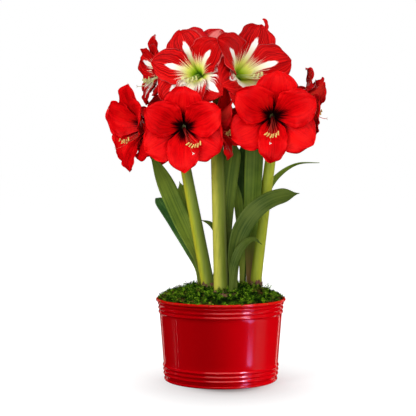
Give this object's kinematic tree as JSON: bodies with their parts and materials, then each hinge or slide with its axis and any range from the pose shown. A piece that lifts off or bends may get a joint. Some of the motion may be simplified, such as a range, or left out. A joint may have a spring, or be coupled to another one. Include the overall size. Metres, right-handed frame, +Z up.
{
  "type": "potted amaryllis in bloom",
  "caption": "Flowering amaryllis with red and striped trumpet blooms on thick green stems, strap leaves and a moss-topped round red metal pot.",
  "frame": {"origin": "centre of the pot's flat underside, on the surface that it stands on", "axes": "+Z up along the pot's axis, -Y towards the front of the plant"},
  "size_m": [0.4436, 0.3025, 0.7166],
  "materials": {
    "pot_enamel": "glossy red paint on rolled sheet metal",
    "potting_mix": "moist dark peat and bark mix",
    "moss": "matt tufted green moss with brown flecks",
    "bulb_tunic": "dry papery brown skins",
    "scape": "smooth waxy yellow-green stem",
    "leaf": "satin green strap leaf with lengthwise veins",
    "petal_red": "velvety red petal with a near-black throat",
    "petal_striped": "crimson petal with a feathered white and green star",
    "stamen": "red threads with yellow anthers"
  },
  "bodies": {
    "root": {"pot": "pot_enamel", "potting_mix": "potting_mix", "moss": "moss", "bulb_left": "bulb_tunic", "bulb_middle": "bulb_tunic", "bulb_right": "bulb_tunic", "scape_left": "scape", "scape_middle": "scape", "scape_right": "scape", "leaf_left_long": "leaf", "leaf_left_folded": "leaf", "leaf_left_back": "leaf", "leaf_left_inner": "leaf", "leaf_middle_upright": "leaf", "leaf_middle_arching": "leaf", "leaf_middle_curled": "leaf", "leaf_right_broad": "leaf", "leaf_right_dark": "leaf", "leaf_right_short": "leaf", "leaf_right_arching": "leaf", "bloom_left_front": "petal_red", "bloom_left_side": "petal_red", "bloom_left_back": "petal_red", "bloom_left_inner": "petal_red", "bloom_right_front": "petal_red", "bloom_right_side": "petal_red", "bloom_right_back": "petal_red", "bloom_middle_front": "petal_striped", "bloom_middle_right": "petal_striped", "bloom_middle_left": "petal_striped", "bloom_middle_back": "petal_striped", "stamens_left_front": "stamen", "stamens_left_side": "stamen", "stamens_left_back": "stamen", "stamens_left_inner": "stamen", "stamens_right_front": "stamen", "stamens_right_side": "stamen", "stamens_right_back": "stamen", "stamens_middle_front": "stamen", "stamens_middle_right": "stamen", "stamens_middle_left": "stamen", "stamens_middle_back": "stamen"}
  },
  "joints": []
}
